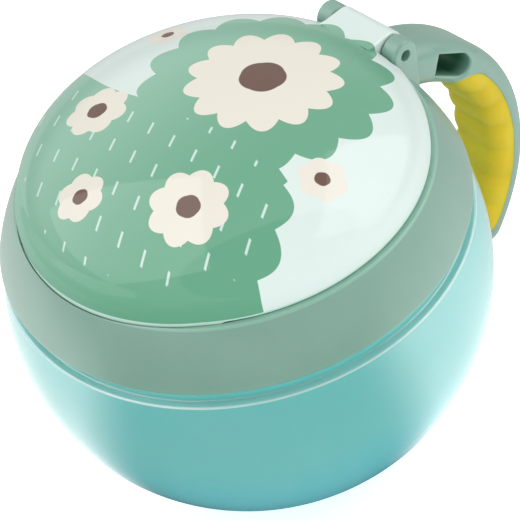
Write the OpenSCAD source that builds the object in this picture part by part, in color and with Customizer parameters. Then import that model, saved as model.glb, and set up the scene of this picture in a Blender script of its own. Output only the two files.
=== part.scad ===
// Toddler snack container: a round bowl, a screw-on lid ring with a C-shaped handle,
// a soft slit opening and a domed flip cover on a pinned hinge.
// The origin is the centre of the flat base. +Z is up, the cover's thumb lip points
// to -Y and the handle to +Y. The hinge pin runs along X. All sizes are millimetres.

/* [Bowl] */
// Outer radius at the widest place
bowl_r = 45; // [42:0.5:50]
// Height of the widest place above the base
belly_z = 36.9; // [34:0.1:39]
// Height of the half ellipse under the widest place, before the base cuts it flat
belly_depth = 43.25; // [41:0.25:46]
// Thickness of the bowl's wall and floor
bowl_wall = 2; // [1.4:0.1:2.6]
// Height of the shoulder's edge above the widest place
shoulder_rise = 12.2; // [11:0.1:12.6]
// Width of the flat shelf on the shoulder
shelf_w = 1.6; // [1:0.1:2.2]
// Height of the step that rises from the shelf
step_h = 2.6; // [2:0.1:2.8]
// Rounding of the shoulder's and the step's edges
edge_round = 0.5; // [0.3:0.1:0.7]
// How far the neck that carries the thread stands inside the widest place
neck_inset = 9; // [8.6:0.1:10.5]
// Thickness of the neck's wall
neck_wall = 1.8; // [1.4:0.1:2.4]
// Height of the neck's rim above the widest place
neck_rise = 22.5; // [21.5:0.1:23]

/* [Lid ring] */
// How far the lid ring's round wall stands outside the bowl's sphere
collar_proud = 1; // [0.4:0.1:2]
// Thickness of the lid ring's outer wall
collar_wall = 1.8; // [1.2:0.1:2.2]
// Gap between the bowl's step and the lid ring's lower edge
collar_gap = 0.4; // [0.3:0.1:1]
// Thickness of the threaded inner skirt
skirt_wall = 1.4; // [1:0.1:1.6]
// Room for the thread between the neck and the skirt
thread_room = 1.3; // [1:0.1:1.6]
// Thickness of the flange over the opening's rim
flange_t = 1.6; // [1.2:0.1:2.4]
// How far the flange reaches in over the neck's bore
mouth_lip = 1.2; // [1:0.1:2.6]
// Rounding of the lid ring's top edge
top_round = 0.7; // [0.3:0.1:0.9]

/* [Soft opening] */
// Thickness of the soft ring that is clamped on the neck
soft_t = 1.5; // [1.2:0.1:2]
// Depth of the soft plug that reaches down into the neck
plug_depth = 2.6; // [1.5:0.1:4]
// Wall of the soft plug
plug_wall = 1.2; // [0.8:0.1:1.4]
// Distance of each flap's bending line from the opening's edge
flap_inset = 6.4; // [6.2:0.1:9]
// Thickness of a flap
flap_t = 1; // [0.8:0.1:1.3]
// Half of the slit between two flaps
slit_half = 0.35; // [0.25:0.05:0.6]
// Radius of the small hole where the slits meet
slit_eye_r = 2.5; // [1.5:0.1:5]

/* [Cover] */
// Width of the lid ring's top edge that shows around the cover
edge_reveal = 0.95; // [0.9:0.05:1.4]
// Height of the dome above its straight rim
dome_h = 14; // [11:0.1:17]
// Height of the cover's straight rim
rim_h = 1; // [0.8:0.1:1.6]
// Thickness of the cover
cover_wall = 1.8; // [1.3:0.1:2.4]
// Wall of the ring under the cover that closes the mouth
seal_wall = 1.4; // [1:0.1:1.8]
// Running gap between the seal ring and the mouth
seal_gap = 0.4; // [0.3:0.05:0.6]
// Height of the seal ring's edge above the soft ring
seal_lift = 0.5; // [0.3:0.1:1]
// How far the thumb lip stands out of the rim
thumb_out = 0.9; // [0.4:0.1:1]
// Half of the angle that the thumb lip spans
thumb_half_angle = 42; // [25:1:55]
// How far the thumb lip reaches down over the lid ring
thumb_drop = 0.8; // [0.4:0.1:1.1]

/* [Hinge] */
// Distance of the hinge axis behind the cover's rim
hinge_out = 0.1; // [0:0.1:0.8]
// Height of the hinge axis above the lid ring's top
hinge_rise = 4.9; // [4.5:0.1:6]
// Radius of the ears' round tops
ear_r = 2.9; // [2.5:0.1:3.2]
// Thickness of an ear along the pin
ear_t = 4; // [3:0.1:5]
// Radius of the cover's knuckle
knuckle_r = 3.1; // [2.6:0.1:3.4]
// Length of the cover's knuckle along the pin
knuckle_w = 11.8; // [9:0.1:13]
// Gap between the knuckle and each ear
knuckle_gap = 0.3; // [0.2:0.05:0.5]
// Radius of the hinge pin
pin_r = 1.05; // [0.8:0.05:1.3]
// Radial clearance around the pin
pin_clearance = 0.05; // [0.02:0.01:0.1]
// Depth of each pin end inside its ear
pin_recess = 0.8; // [0.3:0.1:1.5]

/* [Handle] */
// Width of the handle along the hinge
arm_w = 13.6; // [12:0.1:15]
// Thickness of the handle
arm_t = 8.6; // [7.8:0.1:10]
// Rounding of the handle's section
arm_round = 3.6; // [2.8:0.1:3.8]
// Radius of the arc that the middle of the handle follows
arm_r = 31.9; // [30:0.1:33.5]
// How far the handle's middle line reaches out behind the bowl's widest place
arm_reach = 18.3; // [16:0.1:21]
// How far the arc's centre lies below the bowl's widest place
arm_drop = 8.8; // [7.5:0.1:10]
// Angle of the handle's lower end, from straight up
arm_tail = 133; // [120:1:135]
// Distance of the slot from the lid ring, along the handle
slot_start = 9.4; // [8:0.1:10.5]
// Length of the slot
slot_len = 10.1; // [7:0.1:10.5]
// Height of the slot
slot_h = 4.6; // [4.2:0.1:5]
// How much further the slot's upper corner reaches towards the lid ring
slot_slant = 0.9; // [0:0.1:1.2]

/* [Grip] */
// How far the soft grip reaches forward under the slot's round end
grip_lead = 0.5; // [-3:0.1:0.6]
// Distance of the grip from the start of the handle's round end
grip_end_gap = 3; // [2:0.5:8]
// Rounding of the grip's two ends, seen from the side
grip_corner = 6; // [5:0.5:7]
// Thickness of the soft grip over its core
grip_t = 1.9; // [1.6:0.1:2.3]
// How far the grip's edge lies outside the middle line of the handle
grip_edge = 0.3; // [0:0.1:0.6]
// Distance of the first valley between the finger ribs from the grip's front end
rib_first = 8.5; // [5:0.1:10]
// Distance between two valleys, along the handle's middle line
rib_pitch = 6.85; // [6:0.05:8]
// Radius of the valleys between the ribs
valley_r = 3.2; // [2.6:0.1:4]
// Depth of the valleys between the ribs
rib_depth = 0.6; // [0.3:0.05:0.9]

/* [Hidden] */
$fn = 96;
eps = 0.01;
tuck = 0.02;        // how much smaller a piece is than the one that it continues
run_gap = 0.3;      // between faces of different moving pieces
seat_gap = 0.2;     // under a piece that rests on another moving piece
flap_count = 6;
flap_heel = 0.15;   // how far a flap reaches behind its bending line
rib_margin = 2;     // of plain grip after the last valley
aqua = [0.49, 0.77, 0.75];
sage = [0.56, 0.69, 0.64];
mint = [0.87, 0.94, 0.93];
butter = [0.77, 0.71, 0.23];
milk = [0.9, 0.93, 0.9];
steel = [0.7, 0.71, 0.72];

// Radius of a sphere's ring at a height above its centre
function ring_r(sphere_r, rise) = sqrt(sphere_r * sphere_r - rise * rise);
// Points of an ellipse about [0, z], from one angle to another
function ellipse_points(rx, rz, z, from, to, steps) =
    [for (i = [0:steps]) let (a = from + (to - from) * i / steps) [rx * cos(a), z + rz * sin(a)]];

// Heights of the stack, from the base up
shoulder_z = belly_z + shoulder_rise;
step_z = shoulder_z + step_h;
collar_z = step_z + collar_gap;
neck_z = belly_z + neck_rise;
soft_z = neck_z + seat_gap;
soft_top = soft_z + soft_t;
flange_z = soft_top + seat_gap;
top_z = flange_z + flange_t;
rim_z = top_z + run_gap;
dome_z = rim_z + rim_h;

// Radii that follow from the stack
shoulder_r = ring_r(bowl_r, shoulder_rise);
step_r = shoulder_r - shelf_w;
neck_r = bowl_r - neck_inset;
neck_in = neck_r - neck_wall;
mouth_r = neck_in - mouth_lip;
collar_r = bowl_r + collar_proud;
top_rise = top_z - belly_z;
top_r = ring_r(collar_r, top_rise);
skirt_in = neck_r + thread_room;
skirt_out = skirt_in + skirt_wall;
soft_r = skirt_in - run_gap;
plug_r = neck_in - run_gap;
flap_reach = mouth_r - flap_inset;
cover_r = top_r - edge_reveal;
seal_r = mouth_r - seal_gap;

// Thumb lip: the rim's circle, shifted forward and smaller, stands out only at the front
thumb_shift = (thumb_out * thumb_out + 2 * cover_r * thumb_out)
    / (2 * (cover_r * (1 - cos(thumb_half_angle)) + thumb_out));
thumb_r = cover_r + thumb_out - thumb_shift;

// Hinge
hinge_y = cover_r + hinge_out;
hinge_z = top_z + hinge_rise;
ear_in = knuckle_w / 2 + knuckle_gap;
ear_out = ear_in + ear_t;
hole_r = pin_r + pin_clearance;
notch_y = hinge_y - ear_r - 2 * run_gap;

// Middle line of the handle: an arc in the YZ plane that starts in the lid ring's wall.
// Angles on it count from straight up, over the back and down.
arm_centre = [bowl_r + arm_reach - arm_r, belly_z - arm_drop];
root_r = collar_r - collar_wall;
centre_far = norm([arm_centre[0], arm_drop]);
arm_root = atan2(arm_drop, arm_centre[0])
    + asin((root_r ^ 2 - centre_far ^ 2 - arm_r ^ 2) / (2 * arm_r * centre_far));
function along(length) = length / arm_r * 180 / PI;
slot_mid = arm_root + along(slot_start + slot_len / 2);
grip_from = arm_root + along(slot_start + slot_len - grip_lead);
grip_to = arm_tail - along(grip_end_gap);
rib_run = (grip_to - grip_from) * PI / 180 * arm_r - rib_first - rib_margin;
rib_count = floor(rib_run / rib_pitch);

// Piece that closes the corner outside a fillet, for turning
module fillet_cut(centre, radius) {
    translate(centre) difference() {
        square(2 * radius);
        circle(radius);
    }
}

// Everything between two heights on the right of the axis
module band(z_low, z_high, r_out) {
    translate([0, z_low]) square([r_out, z_high - z_low]);
}

// Solid outline of the bowl under the neck, grown inwards by a wall
module bowl_body_outline(wall) {
    low = asin(max(-1, (wall - belly_z) / (belly_depth - wall)));
    polygon(concat([[0, wall]],
        ellipse_points(bowl_r - wall, belly_depth - wall, belly_z, low, 0, 24),
        [[0, belly_z]]));
    intersection() {
        translate([0, belly_z]) circle(bowl_r - wall);
        band(belly_z - eps, shoulder_z - wall, bowl_r);
    }
}

module bowl() {
    edge_rise = shoulder_rise - edge_round;
    color(aqua) rotate_extrude() difference() {
        union() {
            bowl_body_outline(0);
            band(shoulder_z - eps, step_z, step_r);
            band(step_z - eps, neck_z, neck_r);
        }
        bowl_body_outline(bowl_wall);
        band(belly_z, neck_z + 1, neck_in);
        fillet_cut([ring_r(bowl_r - edge_round, edge_rise), shoulder_z - edge_round], edge_round);
        fillet_cut([step_r - edge_round, step_z - edge_round], edge_round);
    }
}

// Six-sided opening of the soft ring, whose sides are the flaps' bending lines
module flap_window(reach, height) {
    rotate([0, 0, 180 / flap_count])
        cylinder(r = reach / cos(180 / flap_count), h = height, $fn = flap_count);
}

module flap_ring() {
    room = flap_t / 2 + run_gap;
    color(milk) difference() {
        union() {
            translate([0, 0, soft_z]) cylinder(r = soft_r, h = soft_t);
            translate([0, 0, soft_z - plug_depth]) difference() {
                cylinder(r = plug_r, h = plug_depth + eps);
                translate([0, 0, -1]) cylinder(r = plug_r - plug_wall, h = plug_depth + 1);
            }
        }
        translate([0, 0, soft_z - 1]) flap_window(flap_reach + room, soft_t + 2);
    }
}

// One soft flap, pointing from its bending line to the middle
module flap(number) {
    half = tan(180 / flap_count);
    root = flap_reach + flap_heel;
    slit = slit_half / cos(180 / flap_count);
    color(milk) rotate([0, 0, (number - 1) * 360 / flap_count])
        translate([0, 0, soft_z + soft_t / 2 - flap_t / 2]) linear_extrude(flap_t) difference() {
            polygon([[slit / half, 0],
                [root, root * half - slit],
                [root, slit - root * half]]);
            circle(slit_eye_r);
        }
}

// Space of the thumb lip, or of its seat in the lid ring when grown
module thumb_space(grow, z_low, z_high) {
    translate([0, -thumb_shift, z_low]) cylinder(r = thumb_r + grow, h = z_high - z_low);
}

// One ear of the hinge, cut away inside the skirt
module ear(side) {
    difference() {
        translate([side > 0 ? ear_in : -ear_out, 0, 0]) rotate([90, 0, 90]) linear_extrude(ear_t) union() {
            translate([hinge_y, hinge_z]) circle(ear_r);
            translate([hinge_y - ear_r, flange_z - ear_r]) square([2 * ear_r, hinge_z - flange_z + ear_r]);
        }
        translate([0, 0, flange_z - 2 * ear_r]) cylinder(r = skirt_in, h = 2 * ear_r);
        translate([-ear_out - 1, hinge_y, hinge_z]) rotate([0, 90, 0])
            cylinder(r = hole_r, h = 2 * ear_out + 2);
    }
}

module lid_collar() {
    round_r = ring_r(collar_r - top_round, top_rise - top_round);
    color(sage) union() {
        difference() {
            rotate_extrude() difference() {
                intersection() {
                    translate([0, belly_z]) circle(collar_r);
                    band(collar_z, top_z, collar_r);
                }
                intersection() {
                    translate([0, belly_z]) circle(collar_r - collar_wall);
                    translate([skirt_out, collar_z - 1]) square([collar_r, flange_z - collar_z]);
                }
                band(collar_z - 1, flange_z, skirt_in);
                band(collar_z - 1, top_z + 1, mouth_r);
                fillet_cut([round_r, top_z - top_round], top_round);
            }
            difference() {
                thumb_space(run_gap, rim_z - thumb_drop - run_gap, top_z + 1);
                translate([0, 0, flange_z]) cylinder(r = cover_r - cover_wall - run_gap, h = flange_t + 2);
            }
        }
        ear(1);
        ear(-1);
    }
}

// Section of the handle: width across, thickness along the radius of the bend
module arm_section(shrink) {
    w = arm_w - 2 * shrink;
    t = arm_t - 2 * shrink;
    r = max(0.5, arm_round - shrink);
    square([t - 2 * r, w], center = true);
    square([t, w - 2 * r], center = true);
    for (i = [-1, 1], j = [-1, 1]) translate([i * (t / 2 - r), j * (w / 2 - r)]) circle(r, $fn = 48);
}

// Places a piece on the handle's arc: its angle 0 is straight up and its axis runs along X
module on_arc(a) {
    translate([0, arm_centre[0], arm_centre[1]]) rotate([0, -90, 0]) rotate([0, 0, a]) children();
}

// Handle's section swept along the arc
module arm_sweep(shrink) {
    on_arc(arm_root) rotate_extrude(angle = arm_tail - arm_root) translate([arm_r, 0]) arm_section(shrink);
}

// Round lower end of the handle
module arm_tip() {
    on_arc(arm_tail) translate([arm_r, 0, 0]) rotate_extrude() intersection() {
        arm_section(tuck);
        translate([0, -arm_w]) square([arm_t, 2 * arm_w]);
    }
}

// Slot through the root of the handle, square towards the lid and round towards the grip
module arm_slot() {
    on_arc(slot_mid) translate([arm_r, 0, -arm_w]) linear_extrude(2 * arm_w) {
        polygon([[-slot_h / 2, -slot_len / 2], [slot_h / 2, -slot_len / 2 - slot_slant],
            [slot_h / 2, slot_len / 2 - slot_h / 2], [-slot_h / 2, slot_len / 2 - slot_h / 2]]);
        translate([0, slot_len / 2 - slot_h / 2]) circle(slot_h / 2 - tuck);
    }
}

// Side view of the soft grip: the inner half of the handle, with rounded ends
module grip_outline() {
    from = grip_from + along(grip_corner);
    to = grip_to - along(grip_corner);
    edge = arm_r + grip_edge;
    difference() {
        union() {
            intersection() {
                circle(edge);
                polygon([[0, 0], for (a = [from, (from + to) / 2, to]) 2 * arm_r * [cos(a), sin(a)]]);
            }
            for (a = [from, to]) translate((edge - grip_corner) * [cos(a), sin(a)]) circle(grip_corner);
        }
        circle(arm_r - arm_t / 2 - 1);
    }
}

// Side view of the valleys between the finger ribs
module rib_valleys() {
    for (i = [0:rib_count]) rotate(grip_from + along(rib_first + i * rib_pitch))
        translate([arm_r - arm_t / 2 - valley_r + rib_depth, 0]) circle(valley_r);
}

module handle_arm() {
    color(sage) difference() {
        union() {
            arm_sweep(0);
            arm_tip();
        }
        difference() {
            on_arc(0) translate([0, 0, -arm_w]) linear_extrude(2 * arm_w) grip_outline();
            arm_sweep(grip_t);
        }
        arm_slot();
        intersection() {
            translate([0, 0, belly_z]) sphere(collar_r);
            cylinder(r = collar_r, h = top_z);
        }
        ear(1);
        ear(-1);
    }
}

module handle_grip() {
    color(butter) difference() {
        intersection() {
            arm_sweep(0);
            on_arc(0) translate([0, 0, -arm_w]) linear_extrude(2 * arm_w) difference() {
                grip_outline();
                rib_valleys();
            }
        }
        arm_sweep(grip_t);
    }
}

module hinge_pin() {
    color(steel) translate([pin_recess - ear_out, hinge_y, hinge_z]) rotate([0, 90, 0])
        cylinder(r = pin_r, h = 2 * (ear_out - pin_recess));
}

// Dome of the cover, grown inwards by a wall
module dome(wall, z_low) {
    rotate_extrude() polygon(concat([[0, z_low], [cover_r - wall, z_low]],
        ellipse_points(cover_r - wall, dome_h - wall, dome_z, 0, 90, 24)));
}

// Block at the back of the cover where the hinge's ears stand, grown forwards and sideways
module ear_room(grow) {
    half = ear_out + 2 * run_gap + grow;
    translate([-half, notch_y - grow, soft_z]) cube([2 * half, cover_r, dome_h + top_z - soft_z]);
}

// Tongue that joins the dome to the knuckle
module tongue() {
    front_y = notch_y - cover_wall;
    translate([-knuckle_w / 2, 0, 0]) rotate([90, 0, 90]) linear_extrude(knuckle_w) {
        translate([hinge_y, hinge_z]) circle(knuckle_r);
        polygon([[front_y, hinge_z - knuckle_r], [hinge_y, hinge_z - knuckle_r],
            [hinge_y, hinge_z + knuckle_r], [front_y, dome_z + dome_h * sqrt(1 - (front_y / cover_r) ^ 2)]]);
    }
}

module cover() {
    color(mint) difference() {
        union() {
            difference() {
                union() {
                    dome(0, rim_z);
                    thumb_space(0, rim_z - thumb_drop, dome_z);
                }
                difference() {
                    dome(cover_wall, rim_z - thumb_drop - 1);
                    ear_room(cover_wall);
                    translate([0, 0, soft_top + seal_lift]) difference() {
                        cylinder(r = seal_r, h = dome_h);
                        translate([0, 0, -1]) cylinder(r = seal_r - seal_wall, h = dome_h + 2);
                    }
                }
                ear_room(0);
            }
            tongue();
        }
        translate([-knuckle_w, hinge_y, hinge_z]) rotate([0, 90, 0]) cylinder(r = hole_r, h = 2 * knuckle_w);
    }
}

bowl();
flap_ring();
flap(1);  // flap_1
flap(2);  // flap_2
flap(3);  // flap_3
flap(4);  // flap_4
flap(5);  // flap_5
flap(6);  // flap_6
lid_collar();
handle_arm();
handle_grip();
hinge_pin();
cover();
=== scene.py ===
"""Looks of a toddler snack container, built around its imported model.

The origin is the centre of the bowl's foot, +Z is up, the handle is at +Y and the hinge
pin runs along X. The classes hold their sizes in millimetres, and the meshes are in metres.
"""

import logging
from collections.abc import Callable, Sequence
from dataclasses import dataclass
from enum import Enum
from functools import cached_property, partialmethod
from math import acos, asin, atan2, ceil, cos, degrees, hypot, pi, radians, sin, sqrt, tan
from typing import Any

import bmesh
import bpy
from mathutils import Matrix, Vector


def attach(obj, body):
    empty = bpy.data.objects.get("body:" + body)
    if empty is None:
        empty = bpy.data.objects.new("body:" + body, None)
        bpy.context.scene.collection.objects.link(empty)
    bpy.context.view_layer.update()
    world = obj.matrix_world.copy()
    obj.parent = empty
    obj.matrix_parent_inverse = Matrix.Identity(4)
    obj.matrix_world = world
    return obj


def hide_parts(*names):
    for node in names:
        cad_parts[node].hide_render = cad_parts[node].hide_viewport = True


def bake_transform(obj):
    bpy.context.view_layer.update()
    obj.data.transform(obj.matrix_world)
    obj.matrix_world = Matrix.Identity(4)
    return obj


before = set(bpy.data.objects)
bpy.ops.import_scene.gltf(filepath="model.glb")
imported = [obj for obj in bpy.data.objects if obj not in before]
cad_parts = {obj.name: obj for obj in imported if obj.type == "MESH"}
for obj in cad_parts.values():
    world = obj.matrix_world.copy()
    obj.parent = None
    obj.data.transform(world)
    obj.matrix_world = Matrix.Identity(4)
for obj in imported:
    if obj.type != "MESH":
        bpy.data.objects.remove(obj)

LOG = logging.getLogger("snack_container")
MM = 0.001

Obj = bpy.types.Object
Material = bpy.types.Material
Point2 = tuple[float, float]
Corner = tuple[float, float, float]
Rgb = tuple[int, int, int]


class Join(Enum):
    """How a second solid changes a first one."""

    ADD = "UNION"
    CUT = "DIFFERENCE"
    COMMON = "INTERSECT"


class Part(Enum):
    """The record's material slots."""

    BOWL = "bowl_plastic"
    LID = "lid_plastic"
    COVER = "cover_plastic"
    GRIP = "soft_grip"
    SOFT = "soft_opening"
    PIN = "hinge_pin"


# ---------------------------------------------------------------- outlines and meshes


def rounded(corners: Sequence[Corner], closed: bool = True, step: float = 9.0) -> list[Point2]:
    """Turns corners with a rounding each into a line of points.

    Args:
        corners: x, y and rounding radius of each corner.
        closed: Whether the last corner joins the first.
        step: Degrees between two points of an arc.

    Returns:
        The points of the line, in order.
    """
    points: list[Point2] = []
    count = len(corners)
    for i, (x, y, radius) in enumerate(corners):
        if radius <= 0 or (not closed and i in (0, count - 1)):
            points.append((x, y))
            continue
        corner = Vector((x, y))
        before = (Vector(corners[i - 1][:2]) - corner).normalized()
        after = (Vector(corners[(i + 1) % count][:2]) - corner).normalized()
        half = before.angle(after) / 2
        centre = corner + (before + after).normalized() * (radius / sin(half))
        start = corner + before * (radius / tan(half)) - centre
        end = corner + after * (radius / tan(half)) - centre
        first = atan2(start.y, start.x)
        turn = (atan2(end.y, end.x) - first + pi) % (2 * pi) - pi
        steps = max(2, ceil(abs(turn) / radians(step)))
        for k in range(steps + 1):
            angle = first + turn * k / steps
            points.append((centre.x + radius * cos(angle), centre.y + radius * sin(angle)))
    return points


def arc(
    centre: Point2, radii: Point2, start: float, end: float, steps: int, ends: Point2 = (0.0, 0.0),
) -> list[Corner]:
    """Corners along an ellipse.

    Args:
        centre: Middle of the ellipse.
        radii: Half widths along x and y.
        start: First angle in degrees.
        end: Last angle in degrees.
        steps: Number of stretches.
        ends: Rounding of the first and the last corner; the others are sharp.

    Returns:
        The corners, for rounded().
    """
    angles = [radians(start + (end - start) * k / steps) for k in range(steps + 1)]
    corners = [(centre[0] + radii[0] * cos(a), centre[1] + radii[1] * sin(a), 0.0) for a in angles]
    corners[0], corners[-1] = (*corners[0][:2], ends[0]), (*corners[-1][:2], ends[1])
    return corners


def new_piece(name: str, bm: bmesh.types.BMesh) -> Obj:
    """Makes a linked object from a mesh in millimetres.

    Args:
        name: Name of the object.
        bm: Its mesh, which is freed.

    Returns:
        The object, with merged doubles and normals that point out.
    """
    bmesh.ops.remove_doubles(bm, verts=bm.verts, dist=1e-5)
    bmesh.ops.recalc_face_normals(bm, faces=bm.faces)
    bmesh.ops.scale(bm, vec=(MM, MM, MM), verts=bm.verts)
    mesh = bpy.data.meshes.new(name)
    bm.to_mesh(mesh)
    bm.free()
    piece = bpy.data.objects.new(name, mesh)
    bpy.context.scene.collection.objects.link(piece)
    return piece


def skin(bm: bmesh.types.BMesh, rows: Sequence[Sequence[bmesh.types.BMVert]], around: bool = True) -> None:
    """Fills the faces between rows of points.

    Args:
        bm: The mesh.
        rows: Rows of equally many points.
        around: Whether each row's last point joins its first.
    """
    count = len(rows[0])
    for near, far in zip(rows, rows[1:]):
        for j in range(count if around else count - 1):
            n = (j + 1) % count
            bm.faces.new((near[j], near[n], far[n], far[j]))


def surface(name: str, rows: Sequence[Sequence[Vector]]) -> Obj:
    """Skins rows of points and caps both ends.

    Args:
        name: Name of the object.
        rows: Rows of equally many points, in millimetres.

    Returns:
        A closed object.
    """
    bm = bmesh.new()
    grid = [[bm.verts.new(p) for p in row] for row in rows]
    skin(bm, grid)
    bm.faces.new(list(reversed(grid[0])))
    bm.faces.new(grid[-1])
    return new_piece(name, bm)


def lathe(
    name: str, profile: Sequence[Point2], segments: int = 192,
    bend: Callable[[float, float, float], Point2] | None = None,
) -> Obj:
    """Turns a profile about the Z axis.

    Args:
        name: Name of the object.
        profile: Radius and height of each point. It is a loop, or starts and ends on the axis.
        segments: Number of steps round the axis.
        bend: Optional change of a point's radius and height by its angle.

    Returns:
        A closed object.
    """
    bm = bmesh.new()
    rings: list[list[bmesh.types.BMVert]] = []
    for radius, height in profile:
        if radius < 1e-6:
            rings.append([bm.verts.new((0, 0, height))] * segments)
            continue
        ring = []
        for k in range(segments):
            angle = 2 * pi * k / segments
            r, z = bend(angle, radius, height) if bend else (radius, height)
            ring.append(bm.verts.new((r * cos(angle), r * sin(angle), z)))
        rings.append(ring)
    open_line = profile[0][0] < 1e-6 and profile[-1][0] < 1e-6
    for i in range(len(rings) - 1 if open_line else len(rings)):
        low, high = rings[i], rings[(i + 1) % len(rings)]
        for k in range(segments):
            n = (k + 1) % segments
            corners = [low[k], low[n], high[n], high[k]]
            unique = [v for m, v in enumerate(corners) if v not in corners[:m]]
            if len(unique) > 2:
                bm.faces.new(unique)
    return new_piece(name, bm)


def inward(outline: Sequence[Point2]) -> list[Vector]:
    """Steps to the inside at each point of an anticlockwise outline, 1 from each side."""
    steps: list[Vector] = []
    for i in range(len(outline)):
        a, b, c = (Vector(outline[(i + k) % len(outline)]) for k in (-1, 0, 1))
        side_a, side_b = (b - a).normalized(), (c - b).normalized()
        normal = Vector((-side_a.y, side_a.x)) + Vector((-side_b.y, side_b.x))
        steps.append(normal.normalized() / max(0.5, sqrt((1 + side_a.dot(side_b)) / 2)))
    return steps


def smooth(share: float) -> float:
    """Smooth step of a share, which is held between 0 and 1."""
    share = max(0.0, min(1.0, share))
    return share * share * (3 - 2 * share)


def fillet(size: float, steps: int = 6) -> list[Point2]:
    """Offset and depth along a quarter circle, from the rim down to the wall."""
    turns = [pi / 2 * k / steps for k in range(steps + 1)]
    return [(size * (1 - sin(a)), size * (1 - cos(a))) for a in turns]


def anticlockwise(outline: Sequence[Point2]) -> list[Point2]:
    """The outline in anticlockwise order."""
    turning = sum(a[0] * b[1] - a[1] * b[0] for a, b in zip(outline, [*outline[1:], outline[0]]))
    return list(outline) if turning > 0 else list(reversed(outline))


def slab(name: str, outline: Sequence[Point2], low: float, high: float, edge: float, plane: str = "YZ") -> Obj:
    """Extrudes an outline with rounded rims.

    Args:
        name: Name of the object.
        outline: Points of the outline.
        low: Start of the extrusion.
        high: End of the extrusion.
        edge: Rounding of both rims. A negative one flares out instead, for a cutter.
        plane: Plane of the outline, YZ or XY.

    Returns:
        A closed object.
    """
    outline = anticlockwise(outline)
    normals = inward(outline)
    curve = fillet(abs(edge))
    rims = [(low, 0.0), (high, 0.0)]
    if edge > 0:
        rims = [(low + depth, shift) for shift, depth in curve]
        rims += [(high - depth, shift) for shift, depth in reversed(curve)]
    elif edge < 0:
        rims = [(low - 1.0, edge), *((low + depth, -shift) for shift, depth in curve)]
        rims += [*((high - depth, -shift) for shift, depth in reversed(curve)), (high + 1.0, edge)]
    rows = []
    for depth, shift in rims:
        spots = [Vector(point) + normal * shift for point, normal in zip(outline, normals)]
        rows.append([Vector((depth, u, v)) if plane == "YZ" else Vector((u, v, depth)) for u, v in spots])
    return surface(name, rows)


def settle(piece: Obj) -> None:
    """Turns a piece's modifiers into plain mesh."""
    graph = bpy.context.evaluated_depsgraph_get()
    mesh = bpy.data.meshes.new_from_object(piece.evaluated_get(graph))
    piece.modifiers.clear()
    old, piece.data = piece.data, mesh
    mesh.name = piece.name
    if not old.users:
        bpy.data.meshes.remove(old)


def combine(piece: Obj, tool: Obj, how: Join) -> None:
    """Adds, cuts or intersects a solid with another one.

    Args:
        piece: The solid that changes.
        tool: The other solid, which is removed afterwards.
        how: What is done with it.
    """
    modifier = piece.modifiers.new("combine", "BOOLEAN")
    modifier.operation, modifier.solver, modifier.object = how.value, "EXACT", tool
    settle(piece)
    bpy.data.objects.remove(tool)


def polish(piece: Obj, sharp: float = 32.0) -> Obj:
    """Smooths a finished piece, but for edges that are sharper than an angle.

    Args:
        piece: The finished piece.
        sharp: Degrees from which an edge stays sharp.

    Returns:
        The same piece.
    """
    bm = bmesh.new()
    bm.from_mesh(piece.data)
    bmesh.ops.remove_doubles(bm, verts=bm.verts, dist=2e-6)
    bmesh.ops.dissolve_degenerate(bm, edges=bm.edges, dist=2e-6)
    bm.to_mesh(piece.data)
    bm.free()
    piece.data.shade_smooth()
    piece.data.set_sharp_from_angle(angle=radians(sharp))
    weighted = piece.modifiers.new("even_light", "WEIGHTED_NORMAL")
    weighted.keep_sharp = True
    return piece


# ------------------------------------------------------------------------- node trees


class Value:
    """A number that varies over a surface or along a shape: a socket with arithmetic."""

    def __init__(self, graph: "Graph", socket: Any) -> None:
        """Keeps the socket and the tree that it is in."""
        self.graph, self.socket = graph, socket

    def call(self, operation: str, *others: Any, first: Any = None) -> "Value":
        """Adds a Math node.

        Args:
            operation: The node's operation, such as SINE.
            others: Second and third input.
            first: First input, if it isn't this value.

        Returns:
            The node's result.
        """
        inputs = dict(enumerate([self if first is None else first, *others]))
        return self.graph.value("ShaderNodeMath", inputs, operation=operation)

    __add__ = partialmethod(call, "ADD")
    __sub__ = partialmethod(call, "SUBTRACT")
    __mul__ = partialmethod(call, "MULTIPLY")
    __truediv__ = partialmethod(call, "DIVIDE")
    low = partialmethod(call, "MINIMUM")
    high = partialmethod(call, "MAXIMUM")
    size = partialmethod(call, "ABSOLUTE")

    def __rsub__(self, other: Any) -> "Value":
        """Difference from a number."""
        return self.call("SUBTRACT", self, first=other)

    def hypot(self, other: "Value") -> "Value":
        """Length of a line that goes this far one way and the other value across."""
        return (self * self + other * other).call("SQRT")

    def ramp(self, start: float, end: float, to_start: float = 0.0, to_end: float = 1.0) -> "Value":
        """Smooth step between two values.

        Args:
            start: Value where the step starts.
            end: Value where it ends.
            to_start: Result before the step.
            to_end: Result after it.

        Returns:
            The stepped value.
        """
        flip = start > end
        bounds = {"From Min": min(start, end), "From Max": max(start, end)}
        bounds.update({"To Min": to_end if flip else to_start, "To Max": to_start if flip else to_end})
        return self.graph.value("ShaderNodeMapRange", {"Value": self, **bounds}, interpolation_type="SMOOTHSTEP")


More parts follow.
